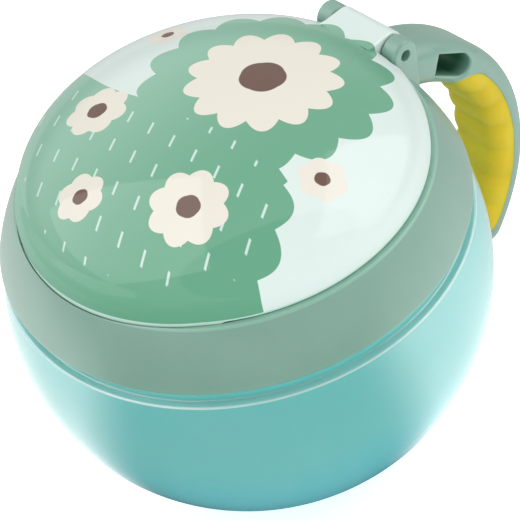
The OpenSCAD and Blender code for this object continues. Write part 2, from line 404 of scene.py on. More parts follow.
class Graph:
    """A node tree that is built by code."""

    def __init__(self, tree: bpy.types.NodeTree) -> None:
        """Keeps the tree."""
        self.tree = tree

    def node(self, kind: str, inputs: dict[Any, Any] | None = None, **settings: Any) -> Any:
        """Adds one node.

        Args:
            kind: The node's type.
            inputs: Values, sockets or Value objects by the input's name or number.
            settings: Its properties, set first.

        Returns:
            The node.
        """
        made = self.tree.nodes.new(kind)
        for key, setting in settings.items():
            setattr(made, key, setting)
        for key, value in (inputs or {}).items():
            if isinstance(value, Value):
                value = value.socket
            if isinstance(value, bpy.types.NodeSocket):
                self.tree.links.new(value, made.inputs[key])
            else:
                made.inputs[key].default_value = value
        return made

    def value(self, kind: str, inputs: dict[Any, Any] | None = None, output: Any = 0, **settings: Any) -> Value:
        """Adds one node as node() does, and takes one of its outputs as a number."""
        return Value(self, self.node(kind, inputs, **settings).outputs[output])

    def split(self, vector: Any) -> list[Value]:
        """X, Y and Z of a vector's socket."""
        outputs = self.node("ShaderNodeSeparateXYZ", {0: vector}).outputs
        return [Value(self, outputs[k]) for k in range(3)]


class Shaper(Graph):
    """A Geometry Nodes tree that works on one piece, with named sizes as its inputs."""

    def __init__(self, name: str, sizes: dict[str, float]) -> None:
        """Starts the tree.

        Args:
            name: Name of the tree.
            sizes: Value of each input by its name.
        """
        super().__init__(bpy.data.node_groups.new(name, "GeometryNodeTree"))
        new_socket = self.tree.interface.new_socket
        new_socket("Geometry", in_out="INPUT", socket_type="NodeSocketGeometry")
        self.sizes = {
            new_socket(label, in_out="INPUT", socket_type="NodeSocketFloat").identifier: size
            for label, size in sizes.items()
        }
        new_socket("Geometry", in_out="OUTPUT", socket_type="NodeSocketGeometry")
        self.given = self.node("NodeGroupInput").outputs

    def apply(self, piece: Obj, result: Any) -> None:
        """Ends the tree and turns a piece into its result.

        Args:
            piece: The piece.
            result: Socket of the geometry that the piece becomes.
        """
        self.node("NodeGroupOutput", {0: result})
        modifier = piece.modifiers.new("shaping", "NODES")
        modifier.node_group = self.tree
        for key, size in self.sizes.items():
            modifier[key] = size
        settle(piece)


def linear(rgb: Rgb) -> tuple[float, float, float, float]:
    """Turns a screen colour from 0 to 255 into Blender's linear one."""
    parts = [c / 255 for c in rgb]
    return (*[c / 12.92 if c <= 0.04045 else ((c + 0.055) / 1.055) ** 2.4 for c in parts], 1.0)


class Paint(Graph):
    """Builds one material. Its x, y and z are the place on the piece in millimetres."""

    def __init__(self, name: str) -> None:
        """Starts an empty material."""
        self.material = bpy.data.materials.new(name)
        self.material.use_nodes = True
        super().__init__(self.material.node_tree)
        self.tree.nodes.clear()
        place = self.node("ShaderNodeTexCoord").outputs["Object"]
        grown = self.node("ShaderNodeVectorMath", {0: place, "Scale": 1 / MM}, operation="SCALE")
        self.place = grown.outputs[0]
        self.x, self.y, self.z = self.split(self.place)

    def mix(self, mask: Any, low: Any, high: Any) -> Any:
        """Mixes two colours.

        Args:
            mask: Value from 0 to 1.
            low: Colour where the mask is 0, as a socket or in screen values.
            high: Colour where it is 1, likewise.

        Returns:
            The mixed colour's socket.
        """
        ends = {key: linear(end) if isinstance(end, tuple) else end for key, end in ((6, low), (7, high))}
        return self.node("ShaderNodeMix", {"Factor": mask, **ends}, data_type="RGBA").outputs[2]

    def noise(self, scale: float, detail: float = 2.0, rough: float = 0.5) -> Value:
        """Noise from 0 to 1.

        Args:
            scale: Waves per millimetre.
            detail: Number of finer layers.
            rough: Strength of the finer layers.

        Returns:
            The noise.
        """
        inputs = {"Vector": self.place, "Scale": scale, "Detail": detail, "Roughness": rough}
        return self.value("ShaderNodeTexNoise", inputs)

    def bump(self, height: Value, distance: float) -> Any:
        """Normal of a height in units of a distance in millimetres."""
        inputs = {"Height": height, "Distance": distance * MM, "Strength": 1.0}
        return self.node("ShaderNodeBump", inputs).outputs[0]

    def finish(self, **sockets: Any) -> Material:
        """Ends the material with one plastic or metal shader.

        Args:
            sockets: Inputs of the Principled node, with _ for a space.

        Returns:
            The material.
        """
        inputs = {key.replace("_", " "): value for key, value in sockets.items()}
        shader = self.node("ShaderNodeBsdfPrincipled", inputs)
        self.node("ShaderNodeOutputMaterial", {"Surface": shader.outputs[0]})
        return self.material


# --------------------------------------------------------------------------- finishes


@dataclass(frozen=True)
class SatinPlastic:
    """Moulded plastic with a soft sheen and a fine grain, with deep shade painted into its colour inside the handle's
    slot.

    Pairs of heights and distances are where a mask starts and ends to change.
    """

    name: str
    tone: Rgb
    deep: Rgb
    pocket: tuple[float, float, float]
    pocket_out: Point2 = (3.2, 2.8)
    pocket_ahead: Point2 = (6.8, 6.5)
    pocket_side: Point2 = (6.4, 3.2)
    # painted shade: the deep green that the slot's inside is darkened to
    shade: Rgb = (16, 98, 58)
    painted_shade_share: float = 0.85
    # painted light: a lighter colour on the flat top, against the shade under the cover's rim
    land_painted_light: Rgb = (138, 184, 165)
    land_z: tuple[Point2, Point2] = ((62.5, 62.6), (63.05, 62.95))
    land_r: tuple[Point2, Point2] = ((36.3, 36.5), (38.6, 38.2))
    roughness: float = 0.42
    grain: float = 0.012
    coat: float = 0.6

    def pocket_shade_mask(self, paint: Paint) -> Value:
        """1 inside the slot, whose Y, Z and turn in radians are in pocket, and 0 elsewhere: where deep shade is
        painted into the colour.
        """
        y, z, turn = self.pocket
        dy, dz = paint.y - y, paint.z - z
        out = (dy * sin(turn) + dz * cos(turn)).size()
        ahead = (dy * cos(turn) - dz * sin(turn)).size()
        return out.ramp(*self.pocket_out) * ahead.ramp(*self.pocket_ahead) * paint.x.size().ramp(*self.pocket_side)

    def on_land(self, paint: Paint) -> Value:
        """1 on the lid ring's flat top around the cover, and 0 elsewhere: where a lighter colour is painted to offset
        the shade under the cover's rim.
        """
        reach = paint.x.hypot(paint.y)
        low, high = self.land_z
        inner, outer = self.land_r
        return paint.z.ramp(*low) * paint.z.ramp(*high) * reach.ramp(*inner) * reach.ramp(*outer)

    def make(self) -> Material:
        """Builds the material."""
        paint = Paint(self.name)
        fine = paint.noise(4.5)
        inside = self.pocket_shade_mask(paint)
        tone = paint.mix(paint.noise(0.06, 3.0).ramp(0.35, 0.65), self.deep, self.tone)
        # painted shade: the colour darkens to a deep green inside the slot
        tone = paint.mix(inside * self.painted_shade_share, tone, self.shade)
        # painted light: the flat top around the cover is lightened against the shade of the cover's rim
        tone = paint.mix(self.on_land(paint), tone, self.land_painted_light)
        return paint.finish(
            Base_Color=tone, Roughness=fine * 0.06 + (self.roughness - 0.03), Normal=paint.bump(fine, self.grain),
            IOR=1.5, Coat_Weight=self.coat - inside * self.coat, Coat_Roughness=0.33, Coat_IOR=1.75,
            Subsurface_Weight=0.35, Subsurface_Radius=(0.35, 1.0, 0.65), Subsurface_Scale=0.0025,
        )


@dataclass(frozen=True)
class MilkyPlastic:
    """Glossy milky plastic of the bowl, deeper in colour towards the foot.

    The bands are painted light: a highlight on the shoulder's rounded brim, a lighter shelf top, and a brighter neck
    against the shade under the lid ring. Each holds the heights between which it starts, and its colour.
    """

    name: str = "aqua_bowl"
    top: Rgb = (114, 201, 197)
    low: Rgb = (80, 206, 228)
    cloud: Rgb = (150, 210, 206)
    painted_light_bands: tuple[tuple[float, float, Rgb], ...] = (
        (48.76, 48.82, (192, 233, 227)), (48.98, 49.06, (158, 220, 215)), (49.2, 49.5, (104, 206, 202)),
    )

    def make(self) -> Material:
        """Builds the material."""
        paint = Paint(self.name)
        tone = paint.mix(paint.z.ramp(4.0, 38.0), self.low, self.top)
        tone = paint.mix(paint.noise(0.05).ramp(0.3, 0.7, 0.0, 0.12), tone, self.cloud)
        # painted light: a highlight on the brim, a lighter shelf, and the neck brightened against the lid ring's shade
        for start, end, colour in self.painted_light_bands:
            tone = paint.mix(paint.z.ramp(start, end), tone, colour)
        return paint.finish(
            Base_Color=tone, Roughness=paint.noise(2.0) * 0.05 + 0.13, Normal=paint.bump(paint.noise(0.11, 1.0), 0.05),
            Coat_Weight=paint.z.ramp(4.0, 18.0), Coat_Roughness=0.14, Coat_IOR=2.2, IOR=1.01,
            Subsurface_Weight=0.6, Subsurface_Radius=(0.4, 1.0, 1.0), Subsurface_Scale=0.01,
        )


@dataclass(frozen=True)
class SoftRubber:
    """Matt rubber with a fine grain."""

    name: str
    tone: Rgb
    deep: Rgb
    roughness: float = 0.62

    def make(self) -> Material:
        """Builds the material."""
        paint = Paint(self.name)
        fine = paint.noise(6.0, 3.0, 0.6)
        tone = paint.mix(paint.noise(0.12, 3.0).ramp(0.3, 0.7), self.deep, self.tone)
        return paint.finish(
            Base_Color=tone, Roughness=fine * 0.1 + (self.roughness - 0.05), Normal=paint.bump(fine, 0.02), IOR=1.42,
            Subsurface_Weight=0.5, Subsurface_Radius=(1.0, 0.5, 0.1), Subsurface_Scale=0.004,
        )


@dataclass(frozen=True)
class BrushedPin:
    """Steel with fine rings from turning."""

    name: str = "turned_steel"
    tone: Rgb = (200, 202, 204)
    deep: Rgb = (176, 178, 180)

    def make(self) -> Material:
        """Builds the material."""
        paint = Paint(self.name)
        rings = (paint.x * 9.0).call("SINE") * 0.5 + 0.5
        tone = paint.mix(paint.noise(0.8, 3.0).ramp(0.3, 0.7), self.deep, self.tone)
        rough = rings * 0.08 + 0.25
        return paint.finish(Base_Color=tone, Metallic=1.0, Roughness=rough, Normal=paint.bump(rings, 0.004))


@dataclass(frozen=True)
class Blossom:
    """One printed flower: a scalloped disc with a round centre."""

    x: float
    y: float
    radius: float
    petals: int
    turn: float
    eye: float


@dataclass(frozen=True)
class PrintedCover:
    """Glossy pale mint plastic with a print of a meadow and daisies."""

    rim: float
    foot: float
    height: float
    name: str = "mint_cover"
    ground: Rgb = (224, 239, 234)
    ground_light: Rgb = (226, 240, 236)
    edge: Rgb = (199, 231, 220)
    leaf: Rgb = (107, 171, 139)
    # painted reflection: the leaf green grows to this lighter green towards -X
    leaf_painted_reflection: Rgb = (150, 198, 175)
    cream: Rgb = (238, 233, 220)
    brown: Rgb = (108, 78, 65)
    dash: Rgb = (206, 232, 220)
    soft: float = 0.08
    skin: Point2 = (-0.95, -0.85)
    rim_line: Point2 = (63.52, 63.6)
    shine: Point2 = (64.5, 71.0)
    blossoms: tuple[Blossom, ...] = (
        Blossom(2.0, 11.5, 14.0, 13, 0.2, 0.3),
        Blossom(-17.5, -11.0, 6.0, 7, 0.4, 0.32),
        Blossom(13.5, -17.0, 7.2, 8, 0.1, 0.3),
        Blossom(-5.0, -26.0, 4.6, 6, 0.9, 0.32),
        Blossom(26.0, 2.0, 4.2, 6, 0.3, 0.32),
        Blossom(-24.5, 11.5, 3.8, 6, 0.6, 0.32),
    )

    def scallop(
        self, paint: Paint, x: float, y: float, radius: float, lobes: int, depth: float, turn: float,
    ) -> Value:
        """Height of a scalloped disc's edge over a point: above 0 inside.

        Args:
            paint: The material.
            x: Middle of the disc.
            y: Middle of the disc.
            radius: Radius of the disc.
            lobes: Number of lobes.
            depth: Depth of the notches as a share of the radius.
            turn: Turn of the lobes in radians.

        Returns:
            Distance inside the edge in millimetres.
        """
        dx, dy = paint.x - x, paint.y - y
        wave = (dy.call("ARCTAN2", dx) * (lobes / 2) + turn).call("SINE").size()
        return wave * (radius * depth) + radius * (1 - depth) - dx.hypot(dy)

    def dashes(self, paint: Paint, pitch: Point2 = (5.6, 6.2)) -> Value:
        """1 on slanted dashes in shifted rows.

        Args:
            paint: The material.
            pitch: Width and height of the place that each dash has.

        Returns:
            The mask.
        """
        wide, tall = pitch
        row = (paint.y / tall).call("FLOOR")
        across = ((paint.x / wide + row * 0.37).call("FRACT") - 0.5) * wide
        along = ((paint.y / tall).call("FRACT") - 0.5) * tall
        return (across + along * 0.45).size().ramp(0.3, 0.2) * along.size().ramp(1.25, 1.1)

    def make(self) -> Material:
        """Builds the material. The print keeps to the outer skin, within the rim."""
        paint = Paint(self.name)
        x, y, z = paint.x, paint.y, paint.z
        reach = x.hypot(y)
        crown = (1.0 - reach * reach / self.rim**2).high(0.0).call("SQRT") * self.height + self.foot
        outside = (z - crown).ramp(*self.skin)
        hill = (x * 0.11 + 0.5).call("SINE") * 2.6 - 3.0 - y
        hill = hill.low(self.scallop(paint, -4.0, -26.0, 37.0, 27, 0.06, 0.0))
        bush = self.scallop(paint, 2.0, 11.5, 22.5, 15, 0.12, 0.5)
        # painted reflection: the leaves lighten towards -X, as if a soft window were mirrored there
        leaf = paint.mix(x.ramp(18.0, -26.0), self.leaf, self.leaf_painted_reflection)
        tone = paint.mix(paint.noise(0.07).ramp(0.3, 0.7), self.ground, self.ground_light)
        tone = paint.mix(hill.high(bush).ramp(-self.soft, self.soft) * outside, tone, leaf)
        dash = self.dashes(paint) * hill.ramp(2.0, 2.4) * reach.ramp(self.rim - 2.6, self.rim - 3.0)
        tone = paint.mix(dash * outside, tone, self.dash)
        for b in self.blossoms:
            petal = self.scallop(paint, b.x, b.y, b.radius, b.petals, 0.17, b.turn)
            eye = self.scallop(paint, b.x, b.y, b.radius * b.eye, 5, 0.05, b.turn)
            for shape, colour in ((petal, self.cream), (eye, self.brown)):
                tone = paint.mix(shape.ramp(-self.soft, self.soft) * outside, tone, colour)
        tone = paint.mix(z.ramp(*self.rim_line), self.edge, tone)
        return paint.finish(
            Base_Color=tone, Roughness=paint.noise(1.5) * 0.04 + 0.16, Normal=paint.bump(paint.noise(0.09, 1.0), 0.04),
            Coat_Weight=z.ramp(*self.shine, 0.1, 1.0), Coat_Roughness=0.05, Coat_IOR=1.5, IOR=1.01,
        )


# ------------------------------------------------------------------------------ sizes


@dataclass(frozen=True)
class Stack:
    """Heights and radii that the pieces share."""

    bowl_r: float = 45.0
    belly_z: float = 36.9
    belly_depth: float = 43.25
    bowl_wall: float = 2.0
    shoulder_z: float = 49.1
    step_z: float = 51.7
    shelf: float = 1.6
    neck_r: float = 36.0
    neck_in: float = 34.2
    neck_z: float = 59.4
    collar_r: float = 46.0
    collar_wall: float = 1.8
    collar_z: float = 52.1
    skirt_in: float = 37.3
    skirt_out: float = 38.7
    flange_z: float = 61.3
    top_z: float = 62.9
    mouth_r: float = 33.0
    soft_z: float = 59.6
    soft_top: float = 61.1
    edge_reveal: float = 0.95
    rim_z: float = 62.97
    dome_z: float = 64.2
    dome_h: float = 14.0
    cover_wall: float = 1.8
    gap: float = 0.3
    hinge_out: float = 0.1
    hinge_z: float = 67.8
    ear_in: float = 6.6
    ear_out: float = 10.2
    ear_r: float = 2.9
    hole_r: float = 1.1
    thumb_r: float = 34.66
    thumb_shift: float = 3.24
    segments: int = 256

    @cached_property
    def top_r(self) -> float:
        """Radius of the lid ring's top edge."""
        return sqrt(self.collar_r**2 - (self.top_z - self.belly_z) ** 2)

    @cached_property
    def cover_r(self) -> float:
        """Radius of the cover's rim."""
        return self.top_r - self.edge_reveal

    @cached_property
    def hinge_y(self) -> float:
        """Distance of the hinge axis from the middle."""
        return self.cover_r + self.hinge_out

    def tilt(self, z: float, radius: float) -> float:
        """Degrees above the bowl's widest place at which a ball of that radius reaches a height."""
        return degrees(asin((z - self.belly_z) / radius))

    def on_hinge(self) -> Matrix:
        """Turns and moves a piece so that its own axis is the hinge's."""
        return Matrix.Translation((0, self.hinge_y * MM, self.hinge_z * MM)) @ Matrix.Rotation(pi / 2, 4, "Y")


# ----------------------------------------------------------------------------- pieces


@dataclass
class Helix:
    """Thread lugs that Geometry Nodes wind round an axis."""

    radius: float
    base_z: float
    lead: float = 12.0
    starts: int = 3
    sweep: float = 100.0
    bead: float = 0.85
    first: float = 0.0
    steps: int = 120
    sides: int = 14

    def build(self, name: str, material: Material) -> Obj:
        """Winds the lugs.

        Args:
            name: Name of the piece.
            material: Its material.

        Returns:
            A plain mesh of all lugs.
        """
        graph = Shaper(name + "_tree", {
            "Radius": self.radius * MM, "Rise": self.lead * self.sweep / 360 * MM, "Turns": self.sweep / 360,
            "Bead": self.bead * MM, "Base": self.base_z * MM, "First": radians(self.first),
        })
        given = graph.given
        spiral = graph.node("GeometryNodeCurveSpiral", {
            "Resolution": self.steps, "Rotations": given["Turns"], "Start Radius": given["Radius"],
            "End Radius": given["Radius"], "Height": given["Rise"],
        })
        factor = graph.value("GeometryNodeSplineParameter", output="Factor")
        taper = (factor.ramp(0.0, 0.08) * factor.ramp(1.0, 0.92)).high(0.02)
        ring = graph.node("GeometryNodeCurvePrimitiveCircle", {"Resolution": self.sides, "Radius": given["Bead"]})
        lug = graph.node("GeometryNodeCurveToMesh", {
            "Curve": spiral.outputs[0], "Profile Curve": ring.outputs[0], "Scale": taper, "Fill Caps": True,
        })
        spot = graph.node("ShaderNodeCombineXYZ", {"Z": given["Base"]})
        points = graph.node("GeometryNodePoints", {"Count": self.starts, "Position": spot.outputs[0]})
        turn = graph.value("GeometryNodeInputIndex") * (2 * pi / self.starts) + given["First"]
        spin = graph.node("ShaderNodeCombineXYZ", {"Z": turn})
        copies = graph.node("GeometryNodeInstanceOnPoints", {
            "Points": points.outputs[0], "Instance": lug.outputs[0], "Rotation": spin.outputs[0],
        })
        real = graph.node("GeometryNodeRealizeInstances", {0: copies.outputs[0]})
        done = graph.node("GeometryNodeSetMaterial", {"Geometry": real.outputs[0], "Material": material})
        piece = new_piece(name, bmesh.new())
        graph.apply(piece, done.outputs[0])
        return piece


def dress(piece: Obj, material: Material, body: str, slot: Part, nodes: Sequence[str] = ()) -> None:
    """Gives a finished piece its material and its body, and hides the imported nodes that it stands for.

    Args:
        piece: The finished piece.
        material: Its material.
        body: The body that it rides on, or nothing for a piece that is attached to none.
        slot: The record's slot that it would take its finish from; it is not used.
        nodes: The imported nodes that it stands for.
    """
    piece.data.materials.clear()
    piece.data.materials.append(material)
    if body:
        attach(piece, body)
    if nodes:
        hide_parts(*nodes)
    LOG.info("%s: %d faces on %s", piece.name, len(piece.data.polygons), body)


@dataclass
class Bowl:
    """The round bowl with its shoulder, step and threaded neck."""

    stack: Stack
    edge: float = 0.5
    foot_edge: float = 1.2
    thread_z: float = 54.3
    thread_bead: float = 0.8

    def profile(self) -> list[Point2]:
        """Outline of the wall, from the foot's middle round to the floor's middle."""
        s = self.stack
        middle = (0.0, s.belly_z)
        outer = arc(middle, (s.bowl_r, s.belly_depth), s.tilt(0.0, s.belly_depth), 0, 40)
        outer[:3] = [(outer[0][0], 0.0, self.foot_edge)]
        upper = arc(middle, (s.bowl_r, s.bowl_r), 0, s.tilt(s.shoulder_z, s.bowl_r), 12, (0.0, self.edge))[1:]
        step_r = upper[-1][0] - s.shelf
        neck = [
            (step_r, s.shoulder_z, 0.4), (step_r, s.step_z, self.edge), (s.neck_r, s.step_z, 0.4),
            (s.neck_r, s.neck_z, 0.5), (s.neck_in, s.neck_z, 0.5),
        ]
        inner_r, inner_depth = s.bowl_r - s.bowl_wall, s.belly_depth - s.bowl_wall
        under = s.shoulder_z - s.bowl_wall
        inside = arc(middle, (inner_r, inner_r), s.tilt(under, inner_r), 0, 12, (0.6, 0.0))
        lower = arc(middle, (inner_r, inner_depth), 0, s.tilt(s.bowl_wall, inner_depth), 40, (0.0, 1.0))[1:]
        del lower[-3:-1]
        corners = [
            (0.0, 0.0, 0.0), *outer, *upper, *neck, (s.neck_in, under, 0.6), *inside, *lower, (0.0, s.bowl_wall, 0.0),
        ]
        return rounded(corners, closed=False)

    def build(self) -> None:
        """Makes the bowl and its thread."""
        s = self.stack
        material = MilkyPlastic().make()
        shell = lathe("bowl_shell", self.profile(), s.segments)
        dress(polish(shell), material, "bowl", Part.BOWL, ["bowl"])
        thread = Helix(s.neck_r + 0.05, self.thread_z, bead=self.thread_bead).build("neck_thread", material)
        dress(polish(thread), material, "bowl", Part.BOWL)


@dataclass
class LidRing:
    """The lid ring with its flange, threaded skirt and hinge ears."""

    stack: Stack
    top_round: float = 0.7
    seat_z: float = 62.1
    ear_edge: float = 0.6
    pin_half: float = 8.7
    thread_z: float = 52.95
    thread_sweep: float = 80.0
    thread_first: float = 20.0
    thread_bead: float = 0.7

    def profile(self) -> list[Point2]:
        """Outline of the ring's wall, as a loop."""
        s = self.stack
        middle = (0.0, s.belly_z)
        low, high = s.tilt(s.collar_z, s.collar_r), s.tilt(s.top_z, s.collar_r)
        outer = arc(middle, (s.collar_r, s.collar_r), low, high, 20, (0.5, self.top_round))
        inner_r = s.collar_r - s.collar_wall
        inner_high = degrees(acos(s.skirt_out / inner_r))
        inside = arc(middle, (inner_r, inner_r), inner_high, s.tilt(s.collar_z, inner_r), 12, (0.3, 0.4))
        for line in (outer, inside):
            del line[-2], line[1]
        corners = [
            *outer, (s.mouth_r, s.top_z, 0.5), (s.mouth_r, s.flange_z, 0.4), (s.skirt_in, s.flange_z, 0.3),
            (s.skirt_in, s.collar_z, 0.4), (s.skirt_out, s.collar_z, 0.4), *inside,
        ]
        return rounded(corners)

    def ear(self, side: int) -> Obj:
        """One hinge ear.

        Args:
            side: 1 for the ear at +X, -1 for the other one.

        Returns:
            The ear with its hole.
        """
        s = self.stack
        y, z, r = s.hinge_y, s.hinge_z, s.ear_r
        outline = rounded([
            (y - r, s.flange_z + 0.4, 0.0), (y + r - 0.6, s.flange_z - 3.2, 0.0), (y + r, z - 1.0, 0.0),
            (y + r, z + r, r - 0.02), (y - r, z + r, r - 0.02),
        ])
        low, high = (s.ear_in, s.ear_out) if side > 0 else (-s.ear_out, -s.ear_in)
        ear = slab(f"ear_{side}", outline, low, high, self.ear_edge)
        turns = [2 * pi * k / 48 for k in range(48)]
        circle = [(y + s.hole_r * cos(a), z + s.hole_r * sin(a)) for a in turns]
        combine(ear, slab("hole", circle, low, high, -0.12), Join.CUT)
        return ear

    def build(self, material: Material) -> None:
        """Makes the ring with its ears and the thread inside it.

        Args:
            material: The lid's plastic.
        """
        s = self.stack
        ring = lathe("lid_ring", self.profile(), s.segments)
        seat_r = s.thumb_r + s.gap
        seat = lathe("seat", [(0, self.seat_z), (seat_r, self.seat_z), (seat_r, 66), (0, 66)], s.segments)
        seat.data.transform(Matrix.Translation((0, -s.thumb_shift * MM, 0)))
        inner = s.cover_r - s.cover_wall - s.gap
        combine(seat, lathe("keep", [(0, 50), (inner, 50), (inner, 70), (0, 70)], s.segments), Join.CUT)
        combine(ring, seat, Join.CUT)
        for side in (1, -1):
            combine(ring, self.ear(side), Join.ADD)
        dress(polish(ring), material, "lid", Part.LID, ["lid_collar"])
        thread = Helix(
            s.skirt_in - 0.05, self.thread_z, sweep=self.thread_sweep, first=self.thread_first, bead=self.thread_bead,
        )
        dress(polish(thread.build("skirt_thread", material)), material, "lid", Part.LID)
        r, half = s.hole_r - 0.05, self.pin_half
        line = rounded([(0, -half, 0), (r, -half, 0.2), (r, half, 0.2), (0, half, 0)], closed=False)
        pin = lathe("hinge_pin_turned", line, 48)
        pin.data.transform(s.on_hinge())
        dress(polish(pin), BrushedPin().make(), "lid", Part.PIN, ["hinge_pin"])


@dataclass
class Handle:
    """The C-shaped handle on one arc, with its slot and its ribbed soft grip."""

    stack: Stack
    width: float = 13.6
    thickness: float = 8.6
    round_r: float = 3.6
    radius: float = 31.9
    centre_y: float = 31.4
    centre_z: float = 28.1
    start: float = 9.0
    tail: float = 133.0
    slot_middle: float = 38.1
    slot: tuple[Corner, ...] = (
        (2.0, -5.5, 0.3), (2.6, 4.4, 2.15), (-2.0, 4.4, 2.15), (-2.2, -4.4, 0.3),
    )
    slot_rim: float = 0.55
    grip_from: float = 46.2
    grip_to: float = 135.0
    grip_corner: float = 6.0
    grip_heel: float = 3.6
    core_from: float = 42.2
    core_to: float = 136.5
    grip_t: float = 1.9
    grip_edge: float = 0.3
    grip_over: Point2 = (3.0, 4.0)
    grip_step: float = 0.45
    rib_first: float = 8.5
    rib_pitch: float = 6.85
    rib_depth: float = 0.75
    room_z: float = 45.0
    bury: float = 0.6
    block_half: float = 9.0
    turn_steps: int = 12
    flat_steps: int = 6
    long_steps: int = 60

    def angle(self, length: float) -> float:
        """Degrees of the arc that a length along it takes."""
        return degrees(length / self.radius)

    def at(self, angle: float, out: float, side: float, ahead: float = 0.0) -> Vector:
        """A point by the arc.

        Args:
            angle: Degrees on the arc, from straight up.
            out: Distance outside the arc.
            side: Distance along X.
            ahead: Distance along the arc's tangent.

        Returns:
            The point in millimetres.
        """
        a = radians(angle)
        reach = self.radius + out
        y = self.centre_y + reach * sin(a) + ahead * cos(a)
        z = self.centre_z + reach * cos(a) - ahead * sin(a)
        return Vector((side, y, z))

    def half_section(self, shrink: float) -> list[Point2]:
        """Outer half of the section, from one side to the other.

        Args:
            shrink: How far the section lies inside the handle's.

        Returns:
            Distance outwards and along X of each point.
        """
        half_t, half_w = self.thickness / 2 - shrink, self.width / 2 - shrink
        r = self.round_r - shrink
        points: list[Point2] = [(0.0, half_w)]
        turns = [radians(90 - 90 * k / self.turn_steps) for k in range(self.turn_steps + 1)]
        points += [(half_t - r + r * cos(a), half_w - r + r * sin(a)) for a in turns]
        points += [(half_t, (half_w - r) * (1 - 2 * k / self.flat_steps)) for k in range(1, self.flat_steps)]
        points += [(half_t - r + r * cos(a), -half_w + r - r * sin(a)) for a in reversed(turns)]
        return [*points, (0.0, -half_w)]

    def loop_section(self, shrink: float) -> list[Point2]:
        """The whole section as a loop."""
        outer = self.half_section(shrink)
        return outer + [(-out, side) for out, side in reversed(outer[1:-1])]

    def rows(self, section: Sequence[Point2], start: float, end: float, step: float = 1.0) -> list[list[Vector]]:
        """Copies of a section along a stretch of the arc.

        Args:
            section: Distance outwards and along X of each point.
            start: First angle.
            end: Last angle.
            step: Degrees between two rows, at most.

        Returns:
            The rows of points.
        """
        count = ceil((end - start) / step)
        angles = [start + (end - start) * k / count for k in range(count + 1)]
        return [[self.at(angle, out, side) for out, side in section] for angle in angles]

    def core(self) -> Obj:
        """The handle's own plastic under the grip."""
        return surface("core", self.rows(self.loop_section(self.grip_t), self.core_from, self.core_to))

    def whole(self, fans: int = 24) -> Obj:
        """The handle's bar with its round end.

        Args:
            fans: Steps round the end.

        Returns:
            The closed bar.
        """
        bm = bmesh.new()
        rows = self.rows(self.loop_section(0.0), self.start, self.tail)
        bar = [[bm.verts.new(point) for point in row] for row in rows]
        skin(bm, bar)
        bm.faces.new(list(reversed(bar[0])))
        end = []
        for turn in (pi * k / fans for k in range(fans + 1)):
            row = [(out * cos(turn), side, out * sin(turn)) for out, side in self.half_section(0.0)]
            end.append([bm.verts.new(self.at(self.tail, *spot)) for spot in row])
        skin(bm, end, around=False)
        return new_piece("handle_bar", bm)

    def grip_prism(self, name: str, shrink: float) -> Obj:
        """Block with the grip's outline, right through the handle.

        Args:
            name: Name of the object.
            shrink: How far its outline lies inside the recess.

        Returns:
            The block.
        """
        corner, heel = self.grip_corner - shrink, self.grip_heel - shrink
        first = self.grip_from + self.angle(self.grip_corner)
        last = self.grip_to - self.angle(self.grip_heel)
        points: list[Point2] = []

        def add(angle: float, out: float, ahead: float) -> None:
            """Adds one point of the outline."""
            spot = self.at(angle, out, 0.0, ahead)
            points.append((spot.y, spot.z))

        near, far = self.grip_edge - self.grip_corner, self.grip_edge - self.grip_heel
        turns = [radians(90 * k / self.turn_steps) for k in range(self.turn_steps + 1)]
        for turn in reversed(turns):
            add(first, near + corner * cos(turn), -corner * sin(turn))
        for k in range(1, self.long_steps):
            add(first + (last - first) * k / self.long_steps, self.grip_edge - shrink, 0.0)
        for turn in turns:
            add(last, far + heel * cos(turn), heel * sin(turn))
        add(last, -self.block_half, heel)
        for k in range(9):
            add(last + (first - last) * k / 8, -self.block_half - 3.0, 0.0)
        add(first, -self.block_half, -corner)
        return slab(name, points, -self.block_half, self.block_half, 0.0)

    def slot_place(self) -> tuple[float, float, float]:
        """Y and Z of the slot's middle, and its turn in radians."""
        spot = self.at(self.slot_middle, 0.0, 0.0)
        return spot.y, spot.z, radians(self.slot_middle)

    def face(self, out: float) -> float:
        """Distance of the handle's side face from the middle, at a distance outside the arc."""
        into = max(0.0, abs(out) - self.thickness / 2 + self.round_r)
        return self.width / 2 - self.round_r + sqrt(self.round_r**2 - into**2)

    def slot_cutter(self) -> Obj:
        """Cutter of the slot, square towards the lid and round towards the grip, with soft rims."""
        outline = anticlockwise(rounded(self.slot, step=12))
        levels = [(self.slot_rim, -1.0), *fillet(self.slot_rim)]
        rows = []
        for side, depths in ((-1, levels), (1, reversed(levels))):
            for shift, depth in depths:
                spots = [Vector(point) - normal * shift for point, normal in zip(outline, inward(outline))]
                walls = [(out, side * (self.face(out) - depth), ahead) for out, ahead in spots]
                rows.append([self.at(self.slot_middle, *wall) for wall in walls])
        return surface("slot", rows)

    def ribs(self, piece: Obj) -> None:
        """Presses the finger valleys into the grip with Geometry Nodes.

        Args:
            piece: The plain grip skin.
        """
        graph = Shaper("finger_ribs", {
            "Pitch": self.rib_pitch, "Depth": self.rib_depth, "First": self.grip_from + self.angle(self.rib_first),
            "Arc": self.radius, "Centre Y": self.centre_y, "Centre Z": self.centre_z,
        })
        given = graph.given
        _, y, z = graph.split(graph.node("GeometryNodeInputPosition").outputs[0])
        y, z = y / MM - given["Centre Y"], z / MM - given["Centre Z"]
        angle = y.call("ARCTAN2", z).call("DEGREES")
        run = (angle - given["First"]) * (pi / 180) * given["Arc"] / given["Pitch"]
        wave = (run * pi).call("SINE")
        valley = 1.0 - (wave * wave + 0.03).call("SQRT")
        weight = (y.hypot(z) - given["Arc"]).ramp(0.4, -2.6)
        push = (valley * -1.0 + 0.3) * weight * given["Depth"] * MM
        normal = graph.node("GeometryNodeInputNormal").outputs[0]
        offset = graph.node("ShaderNodeVectorMath", {0: normal, "Scale": push}, operation="SCALE")
        shape = {"Geometry": given["Geometry"], "Offset": offset.outputs[0]}
        graph.apply(piece, graph.node("GeometryNodeSetPosition", shape).outputs[0])

